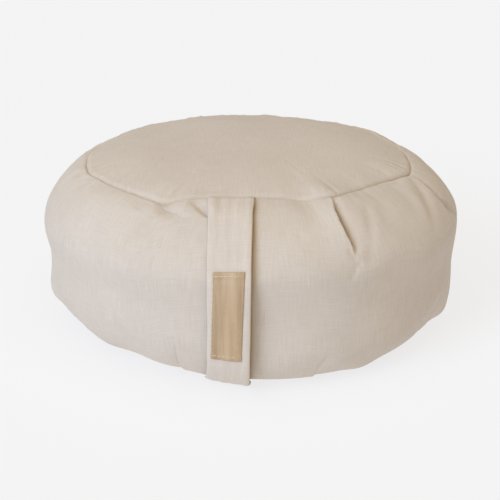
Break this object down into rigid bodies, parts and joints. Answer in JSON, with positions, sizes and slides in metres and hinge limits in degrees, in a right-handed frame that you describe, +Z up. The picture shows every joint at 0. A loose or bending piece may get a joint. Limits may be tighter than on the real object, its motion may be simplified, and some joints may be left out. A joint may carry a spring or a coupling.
{
  "type": "meditation cushion",
  "caption": "Round filled meditation cushion with a pleated side wall, a softly crowned top, a carry strap down one side and a blank woven label on the strap.",
  "frame": {"origin": "on the surface that the cushion rests on, at the bottom centre of its bounding box", "axes": "+Z up through the top panel, -Y out of the side that carries the strap"},
  "size_m": [0.3794, 0.3925, 0.1615],
  "materials": {
    "cover": "natural plain-weave linen",
    "strap": "natural plain-weave linen, folded and stitched",
    "label": "woven satin, blank"
  },
  "bodies": {
    "root": {"cushion": "cover", "strap": "strap", "label": "label"}
  },
  "joints": []
}
